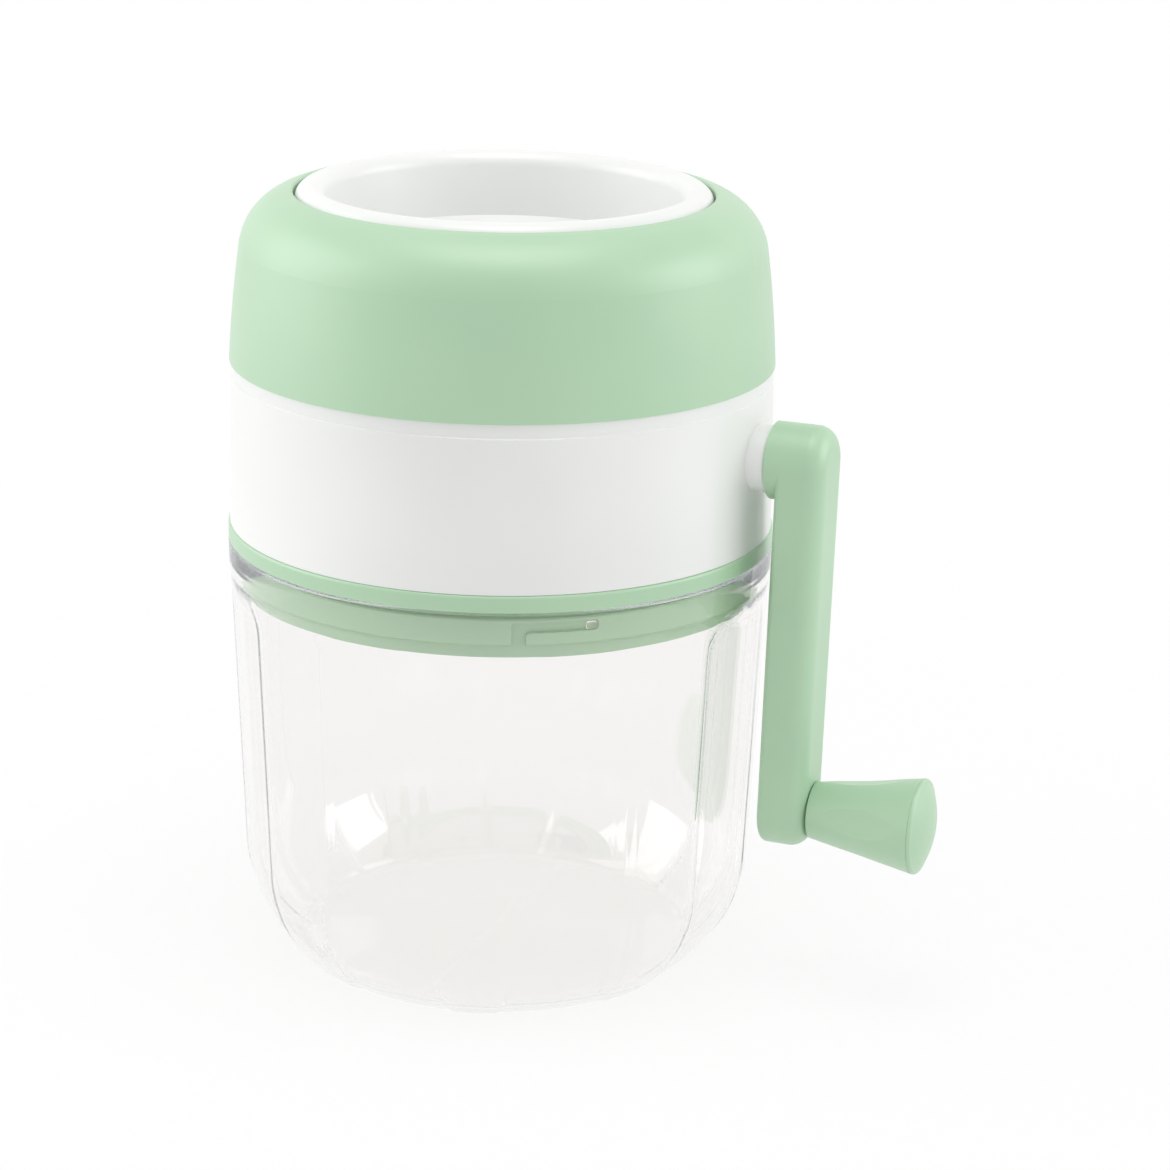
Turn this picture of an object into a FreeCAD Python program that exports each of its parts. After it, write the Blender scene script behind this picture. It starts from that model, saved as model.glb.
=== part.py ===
import FreeCAD, Part
import math
import os
from FreeCAD import Vector

# Hand-cranked mincer that stands on its own catch bowl.
# Millimetres. The origin is the middle of the bowl's underside, +Z is up, and the crank axis runs along +X.

# Fits between pieces
seat_gap = 0.05          # between flat faces that rest on each other
running_gap = 0.06       # radial play of a shaft in its bore
sliding_gap = 0.3        # play between pieces that lift or twist past each other
screw_gap = 0.15         # radial play of a screw in a clearance hole
thread_gap = 0.04        # radial play of a screw in the hole that it bites into

# Whole body
body_radius = 66.0       # outside of the white band, at its foot

# Catch bowl
bowl_height = 106.95     # table to rim
bowl_wall = 1.8
bowl_floor = 3.0
bowl_draft = 2.4         # degrees that the wall leans out
bowl_corner_radius = 36.0
bowl_corner_sink = 7.5   # how far the round of the corner would reach below the table
collar_wall = 1.7        # collar at the rim
collar_step = 0.4        # collar beyond the wall
collar_foot = 0.45       # collar below the room for the belt
collar_round = 0.7
flute_count = 8
flute_width = 26.0
flute_depth = 0.7
flute_drop = 0.25        # room for the spigot down to the top of a flute
flute_corner = 6.0
flute_angle = -50.7      # middle of the first flute, degrees from +X
mark_count = 3           # shallow round marks in the underside
mark_radius = 6.0
mark_depth = 0.4
mark_inset = 13.0        # middle of a mark from the edge of the underside

# Lock ring between bowl and housing
flange_height = 4.0
flange_overhang = 0.4    # flange beyond the band
flange_round = 0.8
web_width = 9.9          # web that carries the deck
spigot_drop = 11.25      # flange down to the end of the spigot
spigot_wall = 2.2
belt_depth = 1.0         # how far the bayonet belt stands out from the spigot
belt_height = 6.15
belt_top_drop = 2.0
belt_edge = 0.3          # broken edge of the belt
groove_height = 2.3
groove_lip = 2.9         # belt below the groove
groove_round = 0.9       # corners of the groove
groove_edge = 0.25       # rounded edge where the groove meets the outside of the belt
lug_count = 3
lug_width = 2.6
entry_angle = -63.4      # middle of the open leg of the first groove
lock_travel = 15.0       # degrees of twist

# White housing band
band_height = 39.75
band_taper = 0.6         # how much narrower the band is at its top
band_wall = 2.2
band_step = 0.25
band_step_drop = 3.5
neck_height = 4.5        # rim that the cover fits over
post_count = 4
post_wall = 2.26         # plastic round the screw in a post
post_height = 20.0
post_web = 2.0

# Deck under the mincing unit
deck_height = 2.0
chute_length = 17.3      # beyond the ring nut
chute_inset = 1.5        # chute inside the width of the ring nut
chute_corner = 4.0

# Domed top cover
cover_overhang = 0.3     # cover beyond the top of the band
cover_wall = 2.2
skirt_arc = 319.0        # gentle curve of the skirt
skirt_lean = 2.9         # degrees, at the bottom of the skirt
shoulder_lean = 7.9      # degrees, where the skirt meets the shoulder
shoulder_arc = 15.0
mouth_inset = 15.5       # edge of the cover in to the hole for the hopper
ledge_drop = 5.5         # cover rim down to the hopper's ledge
ledge_width = 3.6
ledge_height = 2.0

# Hopper
lip_rise = 1.3           # lip crest above the cover rim
lip_width = 7.2
hopper_wall = 2.0
hopper_draft = 6.0       # degrees
hopper_straight = 12.0   # lip down to the start of the cone
spout_depth = 4.5        # spout inside the throat
gasket_height = 1.0

# Mincing unit, along the crank axis
screw_radius = 14.0
screw_play = 0.5         # feed screw to barrel
barrel_wall = 2.2
barrel_rear = 26.0       # inner face of the rear wall from the middle of the body
barrel_length = 54.5     # rear wall to the seat of the hole plate
barrel_lift = 1.19       # barrel's front collar above the deck
rear_wall = 4.5
front_collar_length = 12.0
front_collar_wall = 1.9
plate_height = 4.8
plate_proud = 1.4        # plate beyond the barrel's end
plate_rim = 2.4          # plate beyond the bore, all round
hole_radius = 2.0
hole_edge = 0.5          # outer holes to the edge of the bore
hole_ring_step = 5.0     # outer ring of holes in to the inner ring
inner_holes = 7
outer_holes = 14
throat_inset = 0.8       # throat inside the width of the feed screw
throat_wall = 2.0
foot_length = 9.0
foot_inset = 1.7         # foot inside the width of the barrel
front_foot_setback = 13.5   # middle of the front foot from the plate's seat
rear_foot_setback = 11.0    # middle of the rear foot from the rear wall
foot_screw_inset = 4.0   # screw from the side of the foot
nut_wall = 2.6
nut_lip = 2.4
nut_length = 12.0
nut_grips = 8
nut_grip_radius = 1.6
knife_height = 3.8
knife_count = 4
knife_hub_wall = 1.65    # beyond the corners of the square
knife_width = 5.0
knife_sweep = 22.0       # degrees that a blade trails
screw_core_wall = 2.04   # beyond the corners of the drive socket
screw_pitch = 15.0
flight_height = 2.6
flight_root = 0.6        # flight sunk in the core
flight_inset = 2.5       # plain core at each end
knife_square_inset = 1.05   # corners of the knife's square inside the core
pilot_step = 0.5         # square's flat down to the pilot
pilot_end = 0.6          # pilot stops short of the plate's face
socket_depth = 12.0
washer_height = 1.0
washer_width = 4.94

# Crank shaft and its bearing
shaft_radius = 4.0
drive_relief = 0.057     # squared ends, smaller than the largest square in the shaft
bush_wall = 2.4
bush_flange = 2.0
bush_flange_width = 2.34
bush_length = 14.5       # flange face to outer end
boss_wall = 1.6          # plastic round the bush, outside the band
boss_length = 3.6        # beyond the band
boss_round = 0.8
inner_boss_wall = 3.1    # plastic round the bush, inside the band
seal_height = 2.4
seal_wall = 2.4
clip_height = 1.0
clip_reach = 2.6         # clip beyond the shaft
clip_groove = 0.8
clip_gap_angle = 80.0    # open part of the clip, degrees

# Crank arm
hub_gap = 0.3            # boss to hub
hub_length = 2.8
arm_half_width = 9.3
arm_height = 11.5        # along the crank axis
arm_lean = 1.6           # how far the lower end leans in
crank_radius = 86.3
arm_outer_round = 4.6
arm_inner_round = 1.5
arm_socket = 9.0         # depth of the square socket past the hub face

# Grip
knob_gap = 0.4           # arm to knob
knob_small_radius = 6.9
knob_big_radius = 11.6
knob_length = 26.3
knob_play = 0.1          # knob on its axle
axle_radius = 2.5
axle_bite = 7.0          # axle inside the arm
axle_head_width = 2.1    # head beyond the axle
axle_head_height = 2.2
head_room = 0.2          # cap's plug down to the axle head
cap_dome = 3.5
cap_round = 1.0
cap_plug = 1.2
cap_plug_width = 2.8     # plug beyond the axle head
scallop_count = 4
scallop_arc = 70.0
scallop_depth = 0.65
scallop_angle = 80.0     # degrees up from +Y

# Screws
screw_head_width = 1.4   # head beyond the shank
screw_head_height = 2.0
screw_shank = 1.5        # radius
screw_bite = 8.0         # thread inside a post
foot_bite = 4.5          # thread inside a barrel foot

# Widths that follow from the body
band_top_radius = body_radius - band_taper
flange_radius = body_radius + flange_overhang
collar_radius = flange_radius
bowl_wall_radius = collar_radius - collar_step
collar_bore = collar_radius - collar_wall
belt_radius = collar_bore - sliding_gap
spigot_radius = belt_radius - belt_depth
spigot_bore = spigot_radius - spigot_wall
ledge_radius = spigot_bore - web_width
post_circle = spigot_bore - web_width / 2
deck_radius = body_radius - band_wall - sliding_gap
cover_radius = band_top_radius + cover_overhang
mouth_radius = cover_radius - mouth_inset
post_radius = screw_shank + thread_gap + post_wall
screw_head_radius = screw_shank + screw_head_width

# Mincing unit: each ring is set by the one inside it
barrel_bore = screw_radius + screw_play
barrel_radius = barrel_bore + barrel_wall
plate_radius = barrel_bore + plate_rim
plate_bore = plate_radius + running_gap
front_collar_radius = plate_bore + front_collar_wall
nut_bore = front_collar_radius + thread_gap
nut_radius = nut_bore + nut_wall
chute_half_width = nut_radius - chute_inset
outer_ring = barrel_bore - hole_radius - hole_edge
inner_ring = outer_ring - hole_ring_step
throat_radius = screw_radius - throat_inset
throat_outer = throat_radius + throat_wall
foot_half_width = barrel_radius - foot_inset
foot_screw_y = foot_half_width - foot_screw_inset
shaft_bore = shaft_radius + running_gap
bush_radius = shaft_bore + bush_wall
bush_flange_radius = bush_radius + bush_flange_width
boss_radius = bush_radius + thread_gap + boss_wall
inner_boss_radius = bush_radius + thread_gap + inner_boss_wall
drive_square = shaft_radius * math.sqrt(2) - drive_relief
screw_core = drive_square / math.sqrt(2) + screw_core_wall
knife_square = (screw_core - knife_square_inset) * math.sqrt(2)
knife_hub = knife_square / math.sqrt(2) + knife_hub_wall
pilot_radius = knife_square / 2 - pilot_step
washer_radius = shaft_bore + washer_width
clip_radius = shaft_radius + clip_reach
axle_head_radius = axle_radius + axle_head_width
cap_plug_radius = axle_head_radius + cap_plug_width

# Heights
rim_z = bowl_height
flange_z = rim_z + seat_gap
band_z = flange_z + flange_height
cover_z = band_z + band_height
deck_z = band_z + deck_height
crank_z = deck_z + barrel_lift + front_collar_radius
knob_z = crank_z - crank_radius
belt_top_z = flange_z - belt_top_drop
belt_bottom_z = belt_top_z - belt_height
groove_z = belt_bottom_z + groove_lip
spigot_seat_z = flange_z - spigot_drop - sliding_gap
collar_z = belt_bottom_z - sliding_gap - collar_foot
flute_top_z = spigot_seat_z - flute_drop

# Places along the crank axis
plate_seat = barrel_rear - barrel_length
plate_front = plate_seat - seat_gap - plate_height
barrel_front = plate_front + plate_proud
nut_inner_face = plate_front - seat_gap
nut_front = nut_inner_face - nut_lip
nut_back = nut_front + nut_length
washer_x = barrel_rear - seat_gap - washer_height
screw_back = washer_x - seat_gap
knife_front = plate_seat
knife_back = knife_front + knife_height
screw_front = knife_back + seat_gap
foot_places = (plate_seat + front_foot_setback, barrel_rear - rear_foot_setback)
boss_end = body_radius + boss_length
bush_back = boss_end - bush_length
inner_boss_x = bush_back + bush_flange
hub_face = boss_end + hub_gap
arm_inner_x = hub_face + hub_length
arm_outer_x = arm_inner_x + arm_height
shaft_back = screw_back - socket_depth + seat_gap
shaft_front = hub_face + arm_socket - seat_gap
clip_x = bush_back - seat_gap - clip_height
knob_back = arm_outer_x - arm_lean + knob_gap
knob_front = knob_back + knob_length
head_seat = knob_front - cap_plug - head_room - axle_head_height

# Corner of the bowl: the wall runs into an arc that the underside cuts off
wall_lean = math.radians(bowl_draft)
corner_z = bowl_corner_radius - bowl_corner_sink
tangent_z = corner_z - bowl_corner_radius * math.sin(wall_lean)
tangent_r = bowl_wall_radius - (collar_z - tangent_z) * math.tan(wall_lean)
corner_r = tangent_r - bowl_corner_radius * math.cos(wall_lean)
underside_radius = corner_r + math.sqrt(bowl_corner_radius ** 2 - corner_z ** 2)
mark_circle = underside_radius - mark_inset

# Arcs of the cover: the shoulder carries on where the skirt ends
skirt_r = cover_radius - skirt_arc * math.cos(math.radians(skirt_lean))
skirt_z = cover_z - skirt_arc * math.sin(math.radians(skirt_lean))
shoulder_r = skirt_r + (skirt_arc - shoulder_arc) * math.cos(math.radians(shoulder_lean))
shoulder_z = skirt_z + (skirt_arc - shoulder_arc) * math.sin(math.radians(shoulder_lean))
crown_z = shoulder_z + shoulder_arc
mouth_reach = max(mouth_radius - shoulder_r, 0)
cover_rim_z = shoulder_z + math.sqrt(shoulder_arc ** 2 - mouth_reach ** 2)
ledge_z = cover_rim_z - ledge_drop

# Hopper levels
lip_radius = mouth_radius - sliding_gap
lip_round = lip_width / 2
lip_crest_z = cover_rim_z + lip_rise
lip_foot_z = ledge_z + gasket_height + 2 * seat_gap
lip_mid_z = lip_crest_z - lip_round
hopper_radius = lip_radius - lip_width
spout_radius = throat_radius - sliding_gap
spout_bore = spout_radius - hopper_wall + sliding_gap
spout_foot_z = crank_z + barrel_bore + sliding_gap
throat_top_z = spout_foot_z + spout_depth
spout_top_z = throat_top_z + hopper_wall

UP = Vector(0, 0, 1)
ALONG = Vector(1, 0, 0)
HERE = Vector(0, 0, 0)


class Profile:
    """A closed outline in the x-z plane, drawn from corner to corner."""

    def __init__(self, x, z):
        self.first = Vector(x, 0, z)
        self.last = self.first
        self.edges = []

    def line(self, x, z):
        end = Vector(x, 0, z)
        self.edges.append(Part.LineSegment(self.last, end).toShape())
        self.last = end
        return self

    def arc(self, middle, end):
        through = Vector(middle[0], 0, middle[1])
        stop = Vector(end[0], 0, end[1])
        self.edges.append(Part.Arc(self.last, through, stop).toShape())
        self.last = stop
        return self

    def face(self):
        self.line(self.first.x, self.first.z)
        return Part.Face(Part.Wire(self.edges))

    def about_z(self):
        return self.face().revolve(HERE, UP, 360)

    def about_crank(self, height=crank_z):
        solid = self.face().revolve(HERE, ALONG, 360)
        solid.translate(Vector(0, 0, height))
        return solid


def on_circle(r, z, radius, degrees):
    """Point of a circle in the x-z plane."""
    turn = math.radians(degrees)
    return (r + radius * math.cos(turn), z + radius * math.sin(turn))


def polar(radius, degrees, z=0):
    turn = math.radians(degrees)
    return Vector(radius * math.cos(turn), radius * math.sin(turn), z)


def disc(radius, bottom, top, middle=HERE):
    return Part.makeCylinder(radius, top - bottom, Vector(middle.x, middle.y, bottom), UP)


def rod(radius, back, front, height=crank_z, y=0):
    return Part.makeCylinder(radius, front - back, Vector(back, y, height), ALONG)


def square_bar(across, back, front):
    corner = Vector(back, -across / 2, crank_z - across / 2)
    return Part.makeBox(front - back, across, across, corner)


def ring_sector(inner, outer, bottom, top, middle, spread):
    """Part of a ring about Z, spread degrees wide and centred on the angle middle."""
    solid = Part.makeCylinder(outer, top - bottom, Vector(0, 0, bottom), UP, spread)
    hole = Part.makeCylinder(inner, top - bottom, Vector(0, 0, bottom), UP, spread)
    solid = solid.cut(hole)
    solid.rotate(HERE, UP, middle - spread / 2)
    return solid


def around(count, start=0):
    return [start + 360 * step / count for step in range(count)]


# Catch bowl

def bowl_skin(inset, foot):
    """Everything inside the bowl's outer skin, less a layer of the given thickness."""
    radius = bowl_corner_radius - inset
    foot_angle = -math.degrees(math.asin((corner_z - foot) / radius))
    top = rim_z + seat_gap
    wall_start = on_circle(corner_r, corner_z, radius, -bowl_draft)
    wall_top = wall_start[0] + (top - wall_start[1]) * math.tan(wall_lean)
    middle_angle = (foot_angle - bowl_draft) / 2
    skin = Profile(0, foot)
    skin.line(*on_circle(corner_r, corner_z, radius, foot_angle))
    skin.arc(on_circle(corner_r, corner_z, radius, middle_angle), wall_start)
    skin.line(wall_top, top)
    skin.line(0, top)
    return skin.about_z()


def flute_window(inset):
    """Upright window with rounded top corners, as deep as the bowl is wide."""
    half = flute_width / 2 - inset
    corner = flute_corner - inset
    top = flute_top_z - inset
    low = -bowl_floor
    window = Profile(-half, low)
    window.line(half, low)
    window.line(half, top - corner)
    window.arc(on_circle(half - corner, top - corner, corner, 45), (half - corner, top))
    window.line(corner - half, top)
    window.arc(on_circle(corner - half, top - corner, corner, 135), (-half, top - corner))
    solid = window.face().extrude(Vector(0, collar_radius + collar_wall, 0))
    solid.rotate(HERE, UP, -90)
    return solid


def fluted_skin(inset, foot):
    """The bowl's skin with its flutes pressed in."""
    skin = bowl_skin(inset, foot)
    flute = flute_window(inset).cut(bowl_skin(inset + flute_depth, -bowl_floor))
    for angle in around(flute_count, flute_angle):
        one = flute.copy()
        one.rotate(HERE, UP, angle)
        skin = skin.cut(one)
    return skin


def make_bowl():
    collar = Profile(collar_bore, collar_z)
    collar.line(collar_radius - collar_round, collar_z)
    collar.line(collar_radius, collar_z + collar_round)
    collar.line(collar_radius, rim_z - collar_round)
    collar.line(collar_radius - collar_round, rim_z)
    collar.line(collar_bore, rim_z)
    outside = fluted_skin(0, 0).common(disc(collar_radius, 0, rim_z))
    inside = fluted_skin(bowl_wall, bowl_floor)
    inside = inside.fuse(disc(spigot_radius + sliding_gap, spigot_seat_z, rim_z + seat_gap))
    inside = inside.fuse(disc(collar_bore, belt_bottom_z - sliding_gap, rim_z + seat_gap))
    bowl = outside.fuse(collar.about_z()).cut(inside)
    for angle in around(lug_count, entry_angle + lock_travel):
        bowl = bowl.fuse(make_lug(angle))
    for angle in around(mark_count, flute_angle):
        bowl = bowl.cut(disc(mark_radius, 0, mark_depth, polar(mark_circle, angle)))
    return bowl.removeSplitter()


def lug_spread():
    return math.degrees(lug_width / collar_bore)


def round_corners(solid, radius, above):
    """Round the edges that point away from the Z axis and lie above the given height."""
    edges = []
    for edge in solid.Edges:
        if edge.Curve.TypeId == "Part::GeomLine" and edge.CenterOfMass.z > above:
            if abs(edge.tangentAt(edge.FirstParameter).z) < 0.5:
                edges.append(edge)
    return solid.makeFillet(radius, edges)


def make_lug(angle):
    low = groove_z + sliding_gap
    high = groove_z + groove_height - sliding_gap
    inner = spigot_radius + sliding_gap
    outer = collar_bore + collar_wall / 2
    lug = ring_sector(inner, outer, low, high, angle, lug_spread())
    return round_corners(lug, groove_round - sliding_gap, groove_z)


# Lock ring

def make_groove(angle):
    """L-shaped bayonet groove: an open leg down the belt and a closed leg along it."""
    play = math.degrees(sliding_gap / collar_bore)
    leg = lug_spread() + 2 * play
    top = groove_z + groove_height
    outer = belt_radius + belt_depth
    upright = ring_sector(spigot_radius, outer, belt_bottom_z, top, angle, leg)
    level = ring_sector(spigot_radius, outer, groove_z, top, angle + lock_travel / 2, lock_travel + leg)
    return round_corners(upright.fuse(level).removeSplitter(), groove_round, belt_bottom_z + belt_edge)


def soften_grooves(ring):
    """Round the edges of the grooves on the outside of the belt."""
    low = belt_bottom_z + belt_edge
    high = belt_top_z - belt_edge
    edges = []
    for edge in ring.Edges:
        middle = edge.valueAt((edge.FirstParameter + edge.LastParameter) / 2)
        on_belt = abs(math.hypot(middle.x, middle.y) - belt_radius) < belt_edge / 2
        if on_belt and low + belt_edge < middle.z < high - belt_edge:
            edges.append(edge)
    return ring.makeFillet(groove_edge, edges)


def make_lock_ring():
    edge = on_circle(flange_radius - flange_round, band_z - flange_round, flange_round, 45)
    ring = Profile(ledge_radius, flange_z)
    ring.line(spigot_bore, flange_z)
    ring.line(spigot_bore, flange_z - spigot_drop)
    ring.line(spigot_radius, flange_z - spigot_drop)
    ring.line(spigot_radius, belt_bottom_z)
    ring.line(belt_radius - belt_edge, belt_bottom_z)
    ring.line(belt_radius, belt_bottom_z + belt_edge)
    ring.line(belt_radius, belt_top_z - belt_edge)
    ring.line(belt_radius - belt_edge, belt_top_z)
    ring.line(spigot_radius, belt_top_z)
    ring.line(spigot_radius, flange_z)
    ring.line(flange_radius, flange_z)
    ring.line(flange_radius, band_z - flange_round)
    ring.arc(edge, (flange_radius - flange_round, band_z))
    ring.line(ledge_radius, band_z)
    solid = ring.about_z()
    for angle in around(lug_count, entry_angle):
        solid = solid.cut(make_groove(angle))
    solid = soften_grooves(solid)
    for angle in around(post_count, 180 / post_count):
        hole = disc(screw_shank + screw_gap, flange_z, band_z, polar(post_circle, angle))
        solid = solid.cut(hole)
    return solid


# Deck, housing band and their screws

def foot_screw_places():
    places = []
    for x in foot_places:
        for y in (-foot_screw_y, foot_screw_y):
            places.append(Vector(x, y, 0))
    return places


def make_deck():
    deck = disc(deck_radius, band_z, deck_z)
    inner = nut_back + sliding_gap + nut_lip
    outer = nut_front - chute_length
    chute = Part.makeBox(inner - outer, 2 * chute_half_width, deck_height,
                         Vector(outer, -chute_half_width, band_z))
    upright = [edge for edge in chute.Edges if abs(edge.tangentAt(edge.FirstParameter).z) > 0.9]
    deck = deck.cut(chute.makeFillet(chute_corner, upright).common(disc(ledge_radius, band_z, deck_z)))
    for angle in around(post_count, 180 / post_count):
        deck = deck.cut(disc(screw_shank + screw_gap, band_z, deck_z, polar(post_circle, angle)))
    for place in foot_screw_places():
        deck = deck.cut(disc(screw_shank + screw_gap, band_z, deck_z, place))
    return deck


def make_post(angle):
    """Screw post with a web to the band."""
    foot = deck_z + seat_gap
    post = disc(post_radius, foot, foot + post_height, polar(post_circle, angle))
    reach = band_top_radius - band_wall / 2 - post_circle
    web = Part.makeBox(reach, post_web, post_height, Vector(post_circle, -post_web / 2, foot))
    web.rotate(HERE, UP, angle)
    return post.fuse(web)


def make_band():
    step_z = cover_z - band_step_drop
    neck_radius = cover_inner(neck_height) - sliding_gap
    neck_z = cover_z + neck_height
    bore_top = neck_radius - band_wall
    bore_foot = body_radius - band_wall
    band = Profile(bore_foot, band_z + seat_gap)
    band.line(body_radius, band_z + seat_gap)
    band.line(band_top_radius, step_z)
    band.line(band_top_radius - band_step, step_z + band_step)
    band.line(band_top_radius - band_step, cover_z)
    band.line(neck_radius, cover_z)
    band.line(neck_radius, neck_z)
    band.line(bore_top, neck_z)
    band.line(bore_top, step_z)
    solid = band.about_z()
    for angle in around(post_count, 180 / post_count):
        solid = solid.fuse(make_post(angle))
    boss = Profile(body_radius - band_wall, 0)
    boss.line(boss_end, 0)
    boss.line(boss_end, boss_radius - boss_round)
    boss.arc(on_circle(boss_end - boss_round, boss_radius - boss_round, boss_round, 45),
             (boss_end - boss_round, boss_radius))
    boss.line(body_radius - band_wall, boss_radius)
    solid = solid.fuse(boss.about_crank())
    solid = solid.fuse(rod(inner_boss_radius, inner_boss_x, band_top_radius - band_wall / 2))
    solid = solid.cut(rod(bush_radius + thread_gap, inner_boss_x, boss_end))
    for angle in around(post_count, 180 / post_count):
        foot = deck_z + seat_gap
        bite = foot + screw_bite + screw_gap
        solid = solid.cut(disc(screw_shank + thread_gap, foot, bite, polar(post_circle, angle)))
    return solid


def make_screws(places, head_z, tip_z):
    """Screws driven from below, one at each place."""
    solids = []
    for place in places:
        head = disc(screw_head_radius, head_z - screw_head_height, head_z, place)
        solids.append(head.fuse(disc(screw_shank, head_z - seat_gap, tip_z, place)))
    return Part.makeCompound(solids)


def make_housing_screws():
    places = [polar(post_circle, angle) for angle in around(post_count, 180 / post_count)]
    return make_screws(places, flange_z - seat_gap, deck_z + seat_gap + screw_bite)


def make_barrel_screws():
    return make_screws(foot_screw_places(), band_z - seat_gap, deck_z + seat_gap + foot_bite)


# Top cover and hopper

def cover_inner(height):
    """Inner radius of the cover at a height above its lower edge."""
    rise = cover_z + height - skirt_z
    return skirt_r + math.sqrt((skirt_arc - cover_wall) ** 2 - rise ** 2)


def cover_skin(inset):
    """Everything inside the cover's outer skin, less a layer of the given thickness."""
    skirt = skirt_arc - inset
    shoulder = shoulder_arc - inset
    low = cover_z + seat_gap
    low_lean = math.degrees(math.asin((low - skirt_z) / skirt))
    low_mid = (low_lean + shoulder_lean) / 2
    start = on_circle(skirt_r, skirt_z, skirt, low_lean)
    bend = on_circle(skirt_r, skirt_z, skirt, shoulder_lean)
    skin = Profile(0, low)
    skin.line(*start)
    skin.arc(on_circle(skirt_r, skirt_z, skirt, low_mid), bend)
    shoulder_mid = on_circle(shoulder_r, shoulder_z, shoulder, (shoulder_lean + 90) / 2)
    skin.arc(shoulder_mid, (shoulder_r, shoulder_z + shoulder))
    skin.line(0, shoulder_z + shoulder)
    return skin.about_z()


def make_cover():
    outside = cover_skin(0)
    well = disc(mouth_radius + cover_wall, ledge_z - ledge_height, crown_z).common(outside)
    cover = outside.cut(cover_skin(cover_wall)).fuse(well)
    cover = cover.cut(disc(mouth_radius, ledge_z, crown_z + seat_gap))
    cover = cover.cut(disc(mouth_radius - ledge_width, cover_z, crown_z))
    rim = [edge for edge in cover.Edges if is_mouth_edge(edge)]
    return cover.makeFillet(cover_wall / 4, rim).removeSplitter()


def is_mouth_edge(edge):
    """True for the edge round the cover's mouth."""
    box = edge.BoundBox
    flat = box.ZLength < sliding_gap
    return flat and abs(box.ZMax - cover_rim_z) < sliding_gap and abs(box.XMax - mouth_radius) < sliding_gap


def make_gasket():
    low = ledge_z + seat_gap
    inner = mouth_radius - ledge_width + sliding_gap
    return disc(lip_radius, low, low + gasket_height).cut(disc(inner, low, low + gasket_height))


def make_hopper():
    lean = math.tan(math.radians(hopper_draft))
    cone_z = lip_mid_z - hopper_straight
    cone_radius = hopper_radius - hopper_straight * lean
    slope = math.atan2(cone_radius - spout_bore, cone_z - spout_top_z)
    drop = hopper_wall / math.sin(slope)
    lip_under = lip_mid_z - lip_foot_z
    hopper = Profile(lip_radius, lip_foot_z)
    hopper.line(lip_radius, lip_mid_z)
    hopper.arc((lip_radius - lip_round, lip_crest_z), (hopper_radius, lip_mid_z))
    hopper.line(cone_radius, cone_z)
    hopper.line(spout_bore, spout_top_z)
    hopper.line(spout_bore, spout_foot_z)
    hopper.line(spout_radius, spout_foot_z)
    hopper.line(spout_radius, spout_top_z - drop + (spout_radius - spout_bore) / math.tan(slope))
    hopper.line(cone_radius + hopper_wall, cone_z - drop + hopper_wall / math.tan(slope))
    hopper.line(hopper_radius + hopper_wall - lip_under * lean, lip_foot_z)
    return hopper.about_z()


# Mincing unit

def make_barrel():
    collar_back = barrel_front + front_collar_length
    tube = rod(barrel_radius, barrel_front, barrel_rear + rear_wall)
    tube = tube.fuse(rod(front_collar_radius, barrel_front, collar_back))
    tube = tube.fuse(disc(throat_outer, crank_z, throat_top_z))
    for x in foot_places:
        base = Vector(x - foot_length / 2, -foot_half_width, deck_z + seat_gap)
        foot_height = crank_z - deck_z - barrel_bore / 2
        tube = tube.fuse(Part.makeBox(foot_length, 2 * foot_half_width, foot_height, base))
    tube = tube.cut(rod(barrel_bore, barrel_front, barrel_rear))
    tube = tube.cut(rod(plate_bore, barrel_front, plate_seat))
    tube = tube.cut(rod(shaft_bore, barrel_rear, barrel_rear + rear_wall))
    pocket = barrel_rear + rear_wall - seal_height
    tube = tube.cut(rod(shaft_bore + seal_wall, pocket, barrel_rear + rear_wall))
    tube = tube.cut(disc(throat_radius, crank_z, throat_top_z))
    for place in foot_screw_places():
        top = deck_z + seat_gap + foot_bite + screw_gap
        tube = tube.cut(disc(screw_shank + thread_gap, deck_z + seat_gap, top, place))
    return tube


def make_hole_plate():
    back = plate_seat - seat_gap
    plate = rod(plate_radius, plate_front, back)
    plate = plate.cut(rod(pilot_radius + running_gap, plate_front, back))
    for count, ring in ((inner_holes, inner_ring), (outer_holes, outer_ring)):
        for angle in around(count):
            spot = polar(ring, angle)
            plate = plate.cut(rod(hole_radius, plate_front, back, crank_z + spot.y, spot.x))
    return plate


def make_ring_nut():
    nut = rod(nut_radius, nut_front, nut_back)
    nut = nut.cut(rod(nut_bore, nut_inner_face, nut_back))
    nut = nut.cut(rod(barrel_bore, nut_front, nut_inner_face))
    for angle in around(nut_grips):
        spot = polar(nut_radius + nut_grip_radius / 3, angle)
        nut = nut.cut(rod(nut_grip_radius, nut_front, nut_back, crank_z + spot.y, spot.x))
    return nut


def make_flight():
    """Left-handed flight about +Z, starting at the origin."""
    length = screw_back - screw_front - 2 * flight_inset - flight_height
    root = screw_core - flight_root
    spine = Part.makeHelix(screw_pitch, length, screw_core, 0, True)
    section = Profile(root, 0)
    section.line(screw_radius, flight_height / 4)
    section.line(screw_radius, flight_height * 3 / 4)
    section.line(root, flight_height)
    outline = section.face().OuterWire
    return Part.Wire(spine.Edges).makePipeShell([outline], True, True)


def make_feed_screw():
    flight = make_flight()
    flight.rotate(HERE, Vector(0, 1, 0), 90)
    flight.translate(Vector(screw_front + flight_inset, 0, crank_z))
    screw = rod(screw_core, screw_front, screw_back).fuse(flight)
    screw = screw.fuse(square_bar(knife_square, knife_front, screw_front + seat_gap))
    screw = screw.fuse(rod(pilot_radius, plate_front + pilot_end, knife_front + seat_gap))
    socket = square_bar(drive_square + 2 * thread_gap, screw_back - socket_depth, screw_back)
    return screw.cut(socket)


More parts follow.
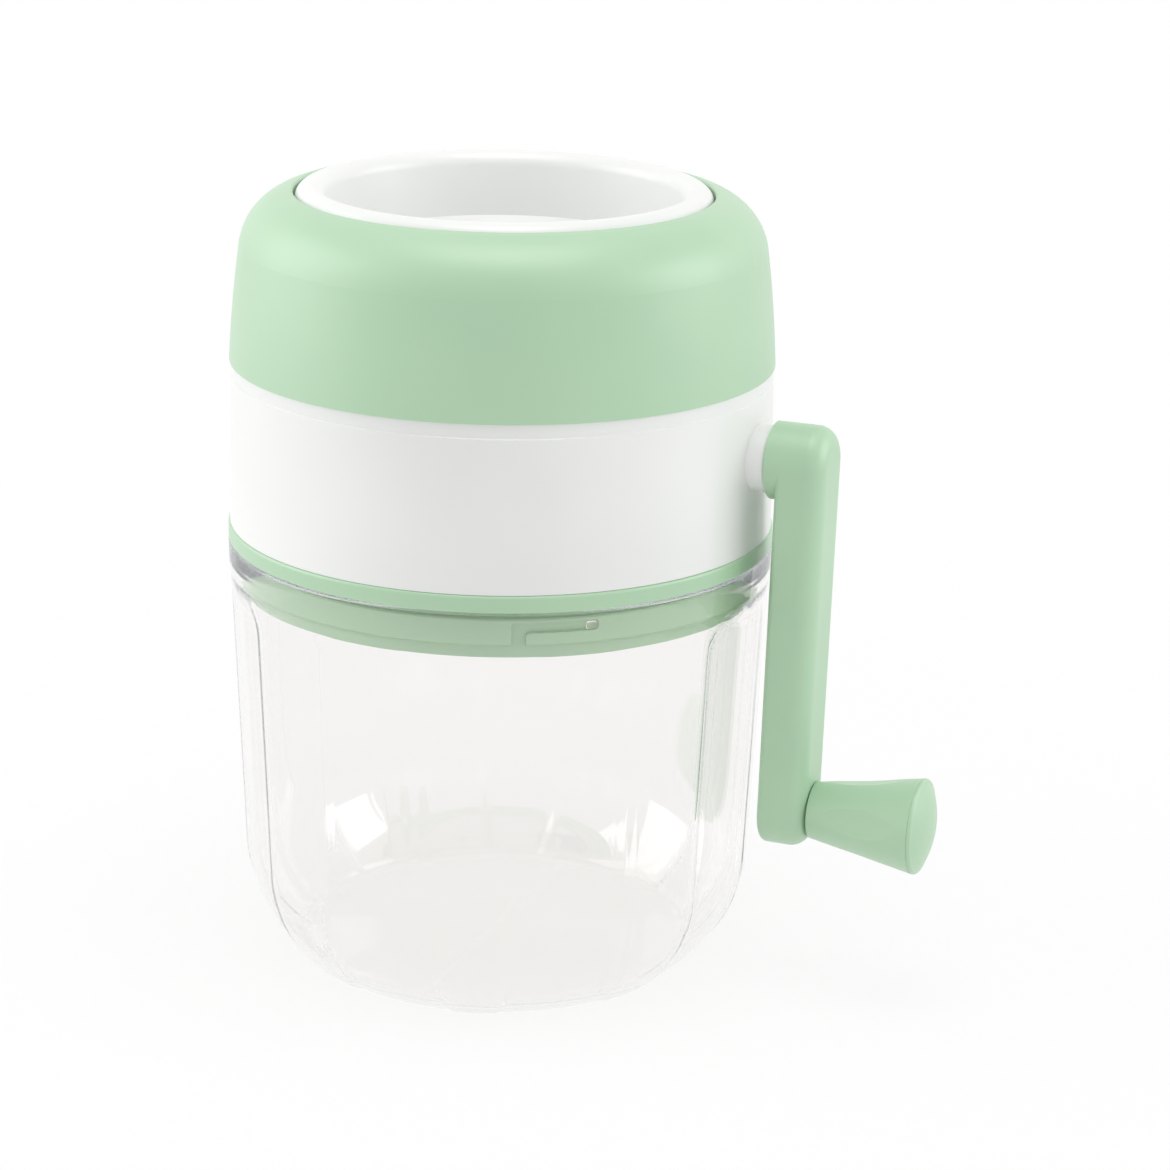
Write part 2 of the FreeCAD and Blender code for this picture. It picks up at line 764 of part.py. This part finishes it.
def make_knife():
    """Cross knife with trailing blades."""
    front = knife_front + seat_gap
    knife = rod(knife_hub, front, knife_back)
    half = knife_width / 2
    root = knife_hub / 2
    tip = screw_radius
    for angle in around(knife_count):
        swept = polar(tip, knife_sweep)
        heel = Vector(root, -half, 0)
        low_tip = Vector(swept.x, swept.y - half, 0)
        high_tip = Vector(swept.x, swept.y + half / 2, 0)
        blade = Part.makePolygon([heel, low_tip, high_tip, Vector(root, half, 0), heel])
        solid = Part.Face(blade).extrude(Vector(0, 0, knife_back - front))
        solid.rotate(HERE, UP, angle)
        solid.rotate(HERE, Vector(0, 1, 0), 90)
        solid.translate(Vector(front, 0, crank_z))
        knife = knife.fuse(solid)
    knife = knife.common(rod(tip, front, knife_back))
    return knife.cut(square_bar(knife_square + 2 * thread_gap, front, knife_back))


def make_washer():
    washer = rod(washer_radius, washer_x, washer_x + washer_height)
    return washer.cut(rod(shaft_bore, washer_x, washer_x + washer_height))


def make_seal():
    back = barrel_rear + rear_wall - seal_height + seat_gap
    front = barrel_rear + rear_wall
    seal = rod(shaft_bore + seal_wall - thread_gap, back, front)
    return seal.cut(rod(shaft_bore, back, front))


# Crank shaft and bearing

def make_bush():
    flange = rod(bush_flange_radius, bush_back, inner_boss_x - seat_gap)
    bush = flange.fuse(rod(bush_radius, bush_back, boss_end))
    return bush.cut(rod(shaft_bore, bush_back, boss_end))


def make_shaft():
    turned = rod(shaft_radius, screw_back + seat_gap, hub_face)
    shaft = turned.fuse(square_bar(drive_square, shaft_back, screw_back + 2 * seat_gap))
    shaft = shaft.fuse(square_bar(drive_square, hub_face - seat_gap, shaft_front))
    groove_front = clip_x + clip_height + seat_gap / 2
    groove_back = clip_x - seat_gap / 2
    groove = rod(shaft_radius + clip_groove, groove_back, groove_front)
    return shaft.cut(groove.cut(rod(shaft_radius - clip_groove, groove_back, groove_front)))


def make_clip():
    inner = shaft_radius - clip_groove + thread_gap
    clip = ring_sector(inner, clip_radius, 0, clip_height, 90, 360 - clip_gap_angle)
    clip.rotate(HERE, Vector(0, 1, 0), 90)
    clip.translate(Vector(clip_x, 0, crank_z))
    return clip


# Crank arm and grip

def arm_plane_x(z, top_x):
    """x of a leaning arm face at a height."""
    return top_x - arm_lean * (crank_z - z) / crank_radius


def make_arm():
    top = crank_z + arm_half_width
    low = knob_z - arm_half_width
    side = Profile(arm_plane_x(low, arm_inner_x), low)
    side.line(arm_plane_x(low, arm_outer_x), low)
    side.line(arm_plane_x(top, arm_outer_x), top)
    side.line(arm_plane_x(top, arm_inner_x), top)
    slab = side.face().extrude(Vector(0, 2 * arm_half_width, 0))
    slab.translate(Vector(0, -arm_half_width, 0))
    start = hub_face
    stop = arm_outer_x + arm_height
    shape = rod(arm_half_width, start, stop).fuse(rod(arm_half_width, start, stop, knob_z))
    corner = Vector(start, -arm_half_width, knob_z)
    middle = Part.makeBox(stop - start, 2 * arm_half_width, crank_radius, corner)
    arm = slab.common(shape.fuse(middle).removeSplitter()).removeSplitter()
    outer = [edge for edge in arm.Edges if on_arm_face(edge, arm_outer_x)]
    arm = arm.makeFillet(arm_outer_round, outer)
    inner = [edge for edge in arm.Edges if on_arm_face(edge, arm_inner_x)]
    arm = arm.makeFillet(arm_inner_round, inner)
    arm = arm.fuse(rod(arm_half_width, hub_face, arm_inner_x + arm_height / 3))
    arm = arm.cut(square_bar(drive_square + 2 * thread_gap, hub_face, hub_face + arm_socket))
    bite = knob_back - knob_gap - axle_bite
    return arm.cut(rod(axle_radius + thread_gap, bite, knob_back, knob_z))


def on_arm_face(edge, face_x):
    """True for an edge that lies in one leaning face of the arm."""
    return all(abs(edge.valueAt(at).x - arm_plane_x(edge.valueAt(at).z, face_x)) < seat_gap / 5
               for at in edge.ParameterRange + (sum(edge.ParameterRange) / 2,))


def make_axle():
    tip = knob_back - knob_gap - axle_bite + seat_gap
    axle = rod(axle_radius, tip, head_seat + seat_gap + axle_head_height, knob_z)
    head = rod(axle_head_radius, head_seat + seat_gap, head_seat + seat_gap + axle_head_height, knob_z)
    return axle.fuse(head)


def make_scallop(angle):
    """Large cylinder laid across the knob's side."""
    slope = math.atan2(knob_big_radius - knob_small_radius, knob_length)
    away = scallop_arc - scallop_depth
    middle_x = (knob_back + knob_front) / 2 - away * math.sin(slope)
    middle_r = (knob_small_radius + knob_big_radius) / 2 + away * math.cos(slope)
    wide = 2 * knob_big_radius
    solid = Part.makeCylinder(scallop_arc, 2 * wide, Vector(middle_x, -wide, middle_r), Vector(0, 1, 0))
    solid.rotate(HERE, ALONG, angle - 90)
    solid.translate(Vector(0, 0, knob_z))
    return solid


def make_knob():
    bore = axle_radius + knob_play
    recess = cap_plug_radius + thread_gap
    knob = Profile(knob_back, bore)
    knob.line(knob_back, knob_small_radius)
    knob.line(knob_front, knob_big_radius)
    knob.line(knob_front, recess)
    knob.line(knob_front - cap_plug - sliding_gap, recess)
    knob.line(knob_front - cap_plug - sliding_gap, axle_head_radius + sliding_gap)
    knob.line(head_seat, axle_head_radius + sliding_gap)
    knob.line(head_seat, bore)
    solid = knob.about_crank(knob_z)
    for angle in around(scallop_count, scallop_angle):
        solid = solid.cut(make_scallop(angle))
    return solid


def make_knob_cap():
    seat = knob_front + seat_gap
    tip = seat + cap_dome
    rim = knob_big_radius
    shoulder_x = seat + cap_round
    shoulder_rim = rim - cap_round
    rise = tip - shoulder_x
    sphere = (shoulder_rim ** 2 + rise ** 2) / (2 * rise)
    half = shoulder_rim / 2
    crown = tip - sphere + math.sqrt(sphere ** 2 - half ** 2)
    corner = on_circle(seat, shoulder_rim, cap_round, 45)
    cap = Profile(seat - cap_plug, 0)
    cap.line(tip, 0)
    cap.arc((crown, half), (shoulder_x, shoulder_rim))
    cap.arc(corner, (seat, rim))
    cap.line(seat, cap_plug_radius)
    cap.line(seat - cap_plug, cap_plug_radius)
    return cap.about_crank(knob_z)


pieces = {
    "bowl": make_bowl,
    "lock_ring": make_lock_ring,
    "deck_plate": make_deck,
    "housing_band": make_band,
    "housing_screws": make_housing_screws,
    "barrel": make_barrel,
    "barrel_screws": make_barrel_screws,
    "hole_plate": make_hole_plate,
    "ring_nut": make_ring_nut,
    "shaft_bush": make_bush,
    "shaft_seal": make_seal,
    "thrust_washer": make_washer,
    "drive_shaft": make_shaft,
    "shaft_clip": make_clip,
    "feed_screw": make_feed_screw,
    "cross_knife": make_knife,
    "crank_arm": make_arm,
    "knob_axle": make_axle,
    "grip_knob": make_knob,
    "knob_cap": make_knob_cap,
    "top_cover": make_cover,
    "hopper_gasket": make_gasket,
    "hopper": make_hopper,
}

os.makedirs("parts", exist_ok=True)
for name, make in pieces.items():
    shape = make()
    shape.exportStep("parts/" + name + ".step")
    print(name, len(shape.Solids), "solid", shape.isValid(), round(shape.Volume))
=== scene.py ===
# %% [markdown]
# Hand-crank mincer on a catch bowl
#
# This lesson dresses a finished engineering model: the solids arrive at their true place and size, and
# Blender adds the light, the camera and the finishes. Everything is in metres, in the frame of the solids.

# %% Load the frame
import math
import bmesh
import bpy
from mathutils import Matrix, Quaternion, Vector


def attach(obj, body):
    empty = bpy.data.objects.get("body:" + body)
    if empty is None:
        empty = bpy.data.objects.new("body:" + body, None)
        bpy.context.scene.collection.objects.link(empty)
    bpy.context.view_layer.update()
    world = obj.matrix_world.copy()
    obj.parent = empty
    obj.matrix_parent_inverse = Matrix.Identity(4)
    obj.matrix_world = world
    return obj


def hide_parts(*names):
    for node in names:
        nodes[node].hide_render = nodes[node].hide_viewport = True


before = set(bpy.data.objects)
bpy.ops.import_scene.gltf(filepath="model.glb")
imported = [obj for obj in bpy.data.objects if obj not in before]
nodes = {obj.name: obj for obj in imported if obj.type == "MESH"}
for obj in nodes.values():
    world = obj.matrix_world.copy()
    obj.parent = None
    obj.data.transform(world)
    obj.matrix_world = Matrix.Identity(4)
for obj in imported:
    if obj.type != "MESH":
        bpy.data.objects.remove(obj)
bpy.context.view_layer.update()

# %% [markdown]
# Camera
#
# The picture is a catalogue shot: a long lens, about 0.8 m away, looking down by about 18 degrees. A camera
# can be turned by three angles, but a point to look at is easier to read and to change, so the camera is
# aimed at a point near the middle of the body and then rolled by about one degree, as the real one was.

# %% Camera
MM = 0.001
camera_place = Vector((300.6, -715.1, 338.6)) * MM
camera_aim = Vector((19.44, 7.56, 93.16)) * MM
camera_roll = math.radians(1.102)

camera_data = bpy.data.cameras.new("catalogue_camera")
camera_data.sensor_width = 36
camera_data.lens = 101.54
camera = bpy.data.objects.new("catalogue_camera", camera_data)
bpy.context.collection.objects.link(camera)
camera.rotation_mode = "QUATERNION"
camera.location = camera_place
aimed = (camera_aim - camera_place).to_track_quat("-Z", "Y")
camera.rotation_quaternion = aimed @ Quaternion((0, 0, 1), camera_roll)
bpy.context.scene.camera = camera
print("camera is", round((camera_aim - camera_place).length / MM), "mm from its aim")

# %% [markdown]
# Two helpers for finishes
#
# Colours are written as the hex values that a paint program shows, which are sRGB, while shaders count in
# linear light, so one function turns one into the other. The other adds a node: its settings are given by
# name, and an input takes either a value or another node's output, which is then linked.

# %% Helpers for finishes
def colour(hex_value):
    parts = [int(hex_value[i:i + 2], 16) / 255 for i in (1, 3, 5)]
    linear = [c / 12.92 if c <= 0.04045 else ((c + 0.055) / 1.055) ** 2.4 for c in parts]
    return (*linear, 1)


def add(tree, kind, inputs=None, **settings):
    node = tree.nodes.new("ShaderNode" + kind)
    for name, value in settings.items():
        setattr(node, name, value)
    for name, value in (inputs or {}).items():
        if isinstance(value, bpy.types.NodeSocket):
            tree.links.new(value, node.inputs[name])
        else:
            node.inputs[name].default_value = value
    return node


def finish(name):
    material = bpy.data.materials.new(name)
    material.use_nodes = True
    material.node_tree.nodes.clear()
    return material, material.node_tree


print("mid grey is", [round(c, 3) for c in colour("#808080")])

# %% [markdown]
# Floor and surroundings
#
# The ground is white right to the edge of the picture. More lamps would also bleach the object, so the
# floor and the world show white only to rays that come from the camera, a reflection or a see-through
# piece. Near the object the floor keeps a share of its real shading, which leaves the object's soft shadow,
# and further out it is white.

# %% Floor and world
floor_half = 4
floor_mesh = bmesh.new()
bmesh.ops.create_grid(floor_mesh, x_segments=1, y_segments=1, size=floor_half)
floor_data = bpy.data.meshes.new("floor")
floor_mesh.to_mesh(floor_data)
floor_mesh.free()
floor = bpy.data.objects.new("floor", floor_data)
bpy.context.collection.objects.link(floor)


def seen_ray(tree):
    """1 for rays that show the surroundings, 0 for rays that light the object."""
    path = add(tree, "LightPath")
    seen = add(tree, "Math", {0: path.outputs["Is Camera Ray"], 1: path.outputs["Is Glossy Ray"]},
               operation="MAXIMUM")
    return add(tree, "Math", {0: seen.outputs[0], 1: path.outputs["Is Transmission Ray"]},
               operation="MAXIMUM").outputs[0]


near_white, far_white = 0.8, 1.0
shadow_reach, white_from = 0.1, 0.45
paper, tree = finish("white_paper")
matt = add(tree, "BsdfDiffuse", {"Color": colour("#f2f2f2")})
glow = add(tree, "Emission", {"Color": (1, 1, 1, 1), "Strength": 1})
spot = add(tree, "VectorMath", {0: add(tree, "TexCoord").outputs["Object"]}, operation="LENGTH")
white = add(tree, "MapRange", {
    "Value": spot.outputs["Value"], "From Min": shadow_reach, "From Max": white_from,
    "To Min": near_white, "To Max": far_white}, interpolation_type="SMOOTHSTEP")
share = add(tree, "Math", {0: seen_ray(tree), 1: white.outputs["Result"]}, operation="MULTIPLY")
mixed = add(tree, "MixShader", {0: share.outputs[0], 1: matt.outputs[0], 2: glow.outputs[0]})
add(tree, "OutputMaterial", {"Surface": mixed.outputs[0]})
floor_data.materials.append(paper)

world = bpy.data.worlds.new("white_room")
bpy.context.scene.world = world
world.use_nodes = True
tree = world.node_tree
tree.nodes.clear()
room_level = 0.66
level = add(tree, "MapRange", {"Value": seen_ray(tree), "To Min": room_level, "To Max": 1})
room = add(tree, "Background", {"Color": (1, 1, 1, 1), "Strength": level.outputs[0]})
add(tree, "OutputWorld", {"Surface": room.outputs[0]})
print("floor made,", len(floor_data.polygons), "face")

# %% [markdown]
# Light
#
# The picture is lit by a large soft box at the left, which takes that side close to white, and one further
# away at the right, so that the front is the darkest part. A third hangs above and reaches into the hopper.
# They are just weak enough that the white band doesn't clip. Each box is placed by its angle from the
# camera, round the object, and is turned to face the middle of it.

# %% Soft boxes
camera_angle = math.atan2(camera_place.y, camera_place.x)
lamp_aim = Vector((0, 0, 0.1))


def soft_box(name, degrees, away, height, size, watts):
    turn = camera_angle + math.radians(degrees)
    lamp = bpy.data.lights.new(name, "AREA")
    lamp.shape = "SQUARE"
    lamp.size = size
    lamp.energy = watts
    box = bpy.data.objects.new(name, lamp)
    bpy.context.collection.objects.link(box)
    box.location = (away * math.cos(turn), away * math.sin(turn), height)
    box.rotation_mode = "QUATERNION"
    box.rotation_quaternion = (lamp_aim - box.location).to_track_quat("-Z", "Y")
    return box


boxes = [
    soft_box("left_box", degrees=-95, away=0.9, height=0.45, size=0.8, watts=3.7),
    soft_box("right_box", degrees=85, away=1.1, height=0.5, size=0.7, watts=3.8),
    soft_box("top_box", degrees=0, away=0.2, height=1.3, size=0.7, watts=4.3),
]
bpy.context.scene.view_settings.view_transform = "Standard"
print("soft boxes:", [box.name for box in boxes])

# %% [markdown]
# Mint ABS
#
# The cover, lock ring, crank arm and knob are injection-moulded ABS, coloured in the mass. The mould is
# lightly spark-eroded, so the skin is satin: a fine grain breaks up the gloss. Grain of 0.1 mm is too fine
# to show here, so it is drawn at 0.5 mm. The pigment also drifts a little over some centimetres, as the
# melt flows. The melt leaves a skin of clear resin over the pigment, so the shader gets a coat as rough as
# the plastic: it brightens the edges that are seen at a slant and leaves the colour between them as it is.

# %% Mint ABS
def moulded(name, pale, deep, rough, grain_mm, drift_mm, depth_mm, sheen=0):
    material, tree = finish(name)
    place = add(tree, "TexCoord").outputs["Object"]
    drift = add(tree, "TexNoise", {"Vector": place, "Scale": 1 / (drift_mm * MM), "Detail": 2})
    tint = add(tree, "ValToRGB", {"Fac": drift.outputs["Fac"]})
    for stop, position, hex_value in zip(tint.color_ramp.elements, (0.35, 0.65), (deep, pale)):
        stop.position = position
        stop.color = colour(hex_value)
    grain = add(tree, "TexNoise", {"Vector": place, "Scale": 1 / (grain_mm * MM), "Detail": 3})
    gloss = add(tree, "MapRange", {"Value": grain.outputs["Fac"], "From Min": 0.3, "From Max": 0.7,
                                   "To Min": rough - 0.05, "To Max": rough + 0.05})
    bump = add(tree, "Bump", {"Height": grain.outputs["Fac"], "Strength": 0.3, "Distance": depth_mm * MM})
    shader = add(tree, "BsdfPrincipled", {
        "Base Color": tint.outputs["Color"], "Roughness": gloss.outputs["Result"],
        "Normal": bump.outputs["Normal"], "IOR": 1.53, "Specular IOR Level": 0.8,
        "Coat Weight": sheen, "Coat Roughness": rough, "Coat IOR": 1.53})
    add(tree, "OutputMaterial", {"Surface": shader.outputs[0]})
    return material


mint_abs = moulded("mint_abs", "#add0ad", "#a7cba8", 0.45, 0.5, 45, 0.03, sheen=0.6)
print("made", mint_abs.name)

# %% [markdown]
# White ABS, acetal and silicone
#
# The housing band, hopper, deck, barrel and ring nut are the same plastic in white, from a smoother mould.
# White stays below full white, so that it shades and doesn't clip. The bearing parts and the feed screw are
# creamy acetal, which is slippery and a little glossier, and the seals are silicone rubber, which is
# duller.

# %% White ABS, acetal and silicone
white_abs = moulded("white_abs", "#eff0ee", "#e9eae8", 0.36, 0.6, 60, 0.02)
acetal = moulded("moulded_acetal", "#e8e5dc", "#dfdbd0", 0.33, 0.8, 25, 0.02)
silicone = moulded("moulded_silicone", "#dcdedb", "#d0d3d0", 0.55, 0.7, 20, 0.03)
print("made", white_abs.name, acetal.name, silicone.name)

# %% [markdown]
# Clear styrene
#
# The bowl is clear styrene acrylonitrile. It is polished in the mould, so it is almost as smooth as glass,
# and it bends light a little more than window glass does. Moulding leaves a faint waviness some centimetres
# across, which makes the reflections swim, and that is all the detail that a clean bowl shows. Light from
# lamps and walls seldom finds its way through bent rays, so those rays pass straight through, and the ring
# inside the collar stays bright. Light caught in the wall is thrown to and fro many times before it gets
# out. By default a ray ends after a few such turns and leaves a black line along every edge, so far more of
# them are allowed, which costs little time. Through the thickness of the wall the plastic looks colourless,
# but along an edge the light goes through some centimetres of it, and there it is a faint grey.
# Absorption in the volume draws those outlines on the white ground.

# %% Clear styrene
wave_mm, wave_deep_mm = 22, 0.05
clear_styrene, tree = finish("clear_styrene")
place = add(tree, "TexCoord").outputs["Object"]
wave = add(tree, "TexNoise", {"Vector": place, "Scale": 1 / (wave_mm * MM), "Detail": 1})
ripple = add(tree, "Bump", {"Height": wave.outputs["Fac"], "Strength": 0.4, "Distance": wave_deep_mm * MM})
haze = add(tree, "MapRange", {"Value": wave.outputs["Fac"], "From Min": 0.3, "From Max": 0.7,
                              "To Min": 0.01, "To Max": 0.04})
glassy = add(tree, "BsdfPrincipled", {
    "Base Color": colour("#fbfaf9"), "Roughness": haze.outputs["Result"], "IOR": 1.57,
    "Transmission Weight": 1, "Normal": ripple.outputs["Normal"]})
open_way = add(tree, "BsdfTransparent", {"Color": colour("#fdfcfb")})
path = add(tree, "LightPath")
bounce = add(tree, "MixShader", {0: path.outputs["Is Diffuse Ray"], 1: glassy.outputs[0],
                                 2: open_way.outputs[0]})
lamp = add(tree, "MixShader", {0: path.outputs["Is Shadow Ray"], 1: bounce.outputs[0],
                               2: open_way.outputs[0]})
depth = add(tree, "VolumeAbsorption", {"Color": colour("#dcdfe1"), "Density": 11})
add(tree, "OutputMaterial", {"Surface": lamp.outputs[0], "Volume": depth.outputs[0]})
paths = bpy.context.scene.cycles
paths.max_bounces = paths.transmission_bounces = paths.glossy_bounces = 200
print("made", clear_styrene.name, "with up to", paths.max_bounces, "bounces")

# %% [markdown]
# Steel
#
# The shaft, clip, axle and screws are bright drawn steel, turned on a lathe, so fine rings run round them.
# The knife and hole plate are ground on their faces, which leaves straight fine lines. Both are about 0.1
# mm apart and drawn at 0.8 mm, so that they show. At a scale of 1, the wave texture repeats every tau / 20
# units.

# %% Steel
def lined_steel(name, pale, deep, rough, direction, spacing_mm):
    material, tree = finish(name)
    place = add(tree, "TexCoord").outputs["Object"]
    lines = add(tree, "TexWave", {
        "Vector": place, "Scale": math.tau / (20 * spacing_mm * MM), "Distortion": 1.5, "Detail": 2,
        "Detail Scale": 3}, wave_type="BANDS", bands_direction=direction)
    tint = add(tree, "ValToRGB", {"Fac": lines.outputs["Fac"]})
    for stop, hex_value in zip(tint.color_ramp.elements, (deep, pale)):
        stop.color = colour(hex_value)
    gloss = add(tree, "MapRange", {"Value": lines.outputs["Fac"], "To Min": rough, "To Max": rough + 0.1})
    bump = add(tree, "Bump", {"Height": lines.outputs["Fac"], "Strength": 0.2, "Distance": 0.02 * MM})
    shader = add(tree, "BsdfPrincipled", {
        "Base Color": tint.outputs["Color"], "Roughness": gloss.outputs["Result"], "Metallic": 1,
        "Normal": bump.outputs["Normal"]})
    add(tree, "OutputMaterial", {"Surface": shader.outputs[0]})
    return material


turned_steel = lined_steel("turned_steel", "#c9cacb", "#b4b6b8", 0.25, "X", 0.8)
ground_steel = lined_steel("ground_steel", "#c2c4c6", "#aeb1b4", 0.28, "Y", 0.8)
print("made", turned_steel.name, ground_steel.name)

# %% [markdown]
# Clear bowl
#
# The solid bowl has flutes with sharp edges, which is enough for fitting and for contact. In clear plastic
# every sharp edge would show as a hard dark line, while on the real bowl the flutes are pressed in softly.
# So the bowl is made again: half of its section is drawn once, with its round corner spun from a single
# point, and then the section is spun round the axis. The steps along the wall have to be fine enough to
# carry the flutes.

# %% Section of the bowl
corner_middle = Vector((27.05, 0, 28.5)) * MM
bowl_floor = 3.0
section = bmesh.new()


def draw_to(start, points, cuts=1):
    """Edges from a vertex through points, given as radius and height in mm, each cut into equal steps."""
    drawn = [start]
    for radius, height in points:
        goal = Vector((radius, 0, height)) * MM
        origin = drawn[-1].co.copy()
        for step in range(1, cuts + 1):
            drawn.append(section.verts.new(origin.lerp(goal, step / cuts)))
            section.edges.new(drawn[-2:])
    return drawn


def swing(start, degrees, steps):
    """Arc of edges from a vertex about the middle of the bowl's corner."""
    made = bmesh.ops.spin(section, geom=[start], cent=corner_middle, axis=(0, -1, 0),
                          angle=math.radians(degrees), steps=steps)
    return made["geom_last"][0]


underside = section.verts.new((0, 0, 0))
foot_edge = draw_to(underside, [(49.05, 0)], cuts=12)[-1]
outer_arc_end = swing(foot_edge, 49.94, 18)
collar_foot = draw_to(outer_arc_end, [(66.0, 98.1)], cuts=46)[-1]
rim = draw_to(collar_foot, [(66.4, 99.2), (66.4, 106.25), (65.7, 106.95), (64.7, 106.95), (64.7, 98.9),
                            (64.16, 97.2)])
inner_arc_start = draw_to(rim[-1], [(61.22, 27.07)], cuts=44)[-1]
floor_edge = swing(inner_arc_start, -45.81, 18)
draw_to(floor_edge, [(0, bowl_floor)], cuts=12)
bmesh.ops.bevel(section, geom=rim[1:6], offset=0.2 * MM, affect="VERTICES", segments=3, profile=0.5,
                material=-1)
print("section has", len(section.verts), "points")

# %% [markdown]
# Flutes
#
# Each flute is a window with round upper corners that runs down under the bowl. Its wall is pressed in by
# 0.7 mm, inside and outside alike, and the step is spread over about 3 mm. The solid's underside also has
# three shallow round marks, left by the mould. They are left out here: the rest of the underside lies on
# the paper, and a pocket of air under clear plastic is a mirror, which would show patches of the mint ring.

# %% Spin the bowl and press in the flutes
bmesh.ops.spin(section, geom=section.verts[:] + section.edges[:], cent=(0, 0, 0), axis=(0, 0, 1),
               angle=math.tau, steps=288, use_merge=True)
bmesh.ops.remove_doubles(section, verts=section.verts, dist=0.005 * MM)
bmesh.ops.recalc_face_normals(section, faces=section.faces)
section.normal_update()
flute_half, flute_top, flute_corner, flute_soft, flute_deep = 13, 95.2, 6, 3, 0.7
flute_turn = math.radians(-50.7)
flute_count, flute_inner_end, flute_foot_shift = 8, 45, 1.1


def smooth(value):
    value = min(max(value, 0), 1)
    return value * value * (3 - 2 * value)


def flute_share(place):
    """0 outside the flutes and 1 on their floor, for a place in mm."""
    part_turn = math.tau / flute_count
    turn = (math.atan2(place.y, place.x) - flute_turn + part_turn / 2) % part_turn - part_turn / 2
    side = flute_half - abs(place.xy.length * math.sin(turn))
    top = flute_top - place.z
    inside = min(side, top)
    if side < flute_corner and top < flute_corner:
        inside = flute_corner - math.hypot(flute_corner - side, flute_corner - top)
    return smooth(inside / flute_soft + 0.5)


moved = 0
for point in section.verts:
    place = point.co / MM
    out = Vector((place.x, place.y, 0)).normalized()
    share = flute_share(place) if place.xy.length > flute_inner_end else 0
    if share and (place.z < 0.01 or abs(place.z - bowl_floor) < 0.01):
        point.co -= out * flute_foot_shift * share * MM
        moved += 1
    elif share:
        inward = -1 if point.normal.dot(out) > 0 or place.z < bowl_floor else 1
        point.co += point.normal * inward * flute_deep * share * MM
        moved += 1
print("points pressed in:", moved)

# %% [markdown]
# Lugs
#
# Three small lugs inside the collar run in the grooves of the lock ring. Each is a cube that is stretched
# to size and rounded, and its root is sunk into the collar's wall.

# %% Lugs of the bowl
lug_middle = Vector((64.24, 0, 102.9)) * MM
lug_size = Vector((0.96, 2.6, 1.7)) * MM
lug_turn, lug_count, lug_round = -48.4, 3, 0.4
for number in range(lug_count):
    turn = math.radians(lug_turn + 360 / lug_count * number)
    lug_place = (Matrix.Rotation(turn, 4, "Z") @ Matrix.Translation(lug_middle)
                 @ Matrix.Diagonal(lug_size).to_4x4())
    lug = bmesh.ops.create_cube(section, size=1, matrix=lug_place)
    edges = {edge for vert in lug["verts"] for edge in vert.link_edges}
    bmesh.ops.bevel(section, geom=list(edges), offset=lug_round * MM, affect="EDGES", segments=4,
                    profile=0.5, material=-1)
for face in section.faces:
    face.smooth = True
bowl_mesh = bpy.data.meshes.new("clear_bowl")
section.to_mesh(bowl_mesh)
section.free()
bowl_mesh.materials.append(clear_styrene)
bowl = bpy.data.objects.new("clear_bowl", bowl_mesh)
bpy.context.collection.objects.link(bowl)
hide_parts("bowl")
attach(bowl, "bowl")
print("bowl has", len(bowl_mesh.polygons), "faces")

# %% [markdown]
# Finishes on the pieces
#
# Each solid already has a material slot from the engineering model, so its own slots are filled with the
# finish.

# %% Put the finishes on
finishes = {
    mint_abs: ["top_cover", "lock_ring", "crank_arm", "grip_knob", "knob_cap"],
    white_abs: ["housing_band", "hopper", "deck_plate", "barrel", "ring_nut"],
    acetal: ["shaft_bush", "feed_screw", "thrust_washer"],
    silicone: ["shaft_seal", "hopper_gasket"],
    turned_steel: ["drive_shaft", "shaft_clip", "knob_axle", "housing_screws", "barrel_screws"],
    ground_steel: ["hole_plate", "cross_knife"],
}
for material, names in finishes.items():
    for name in names:
        for spot in nodes[name].material_slots:
            spot.material = material
    print(material.name, "on", names)
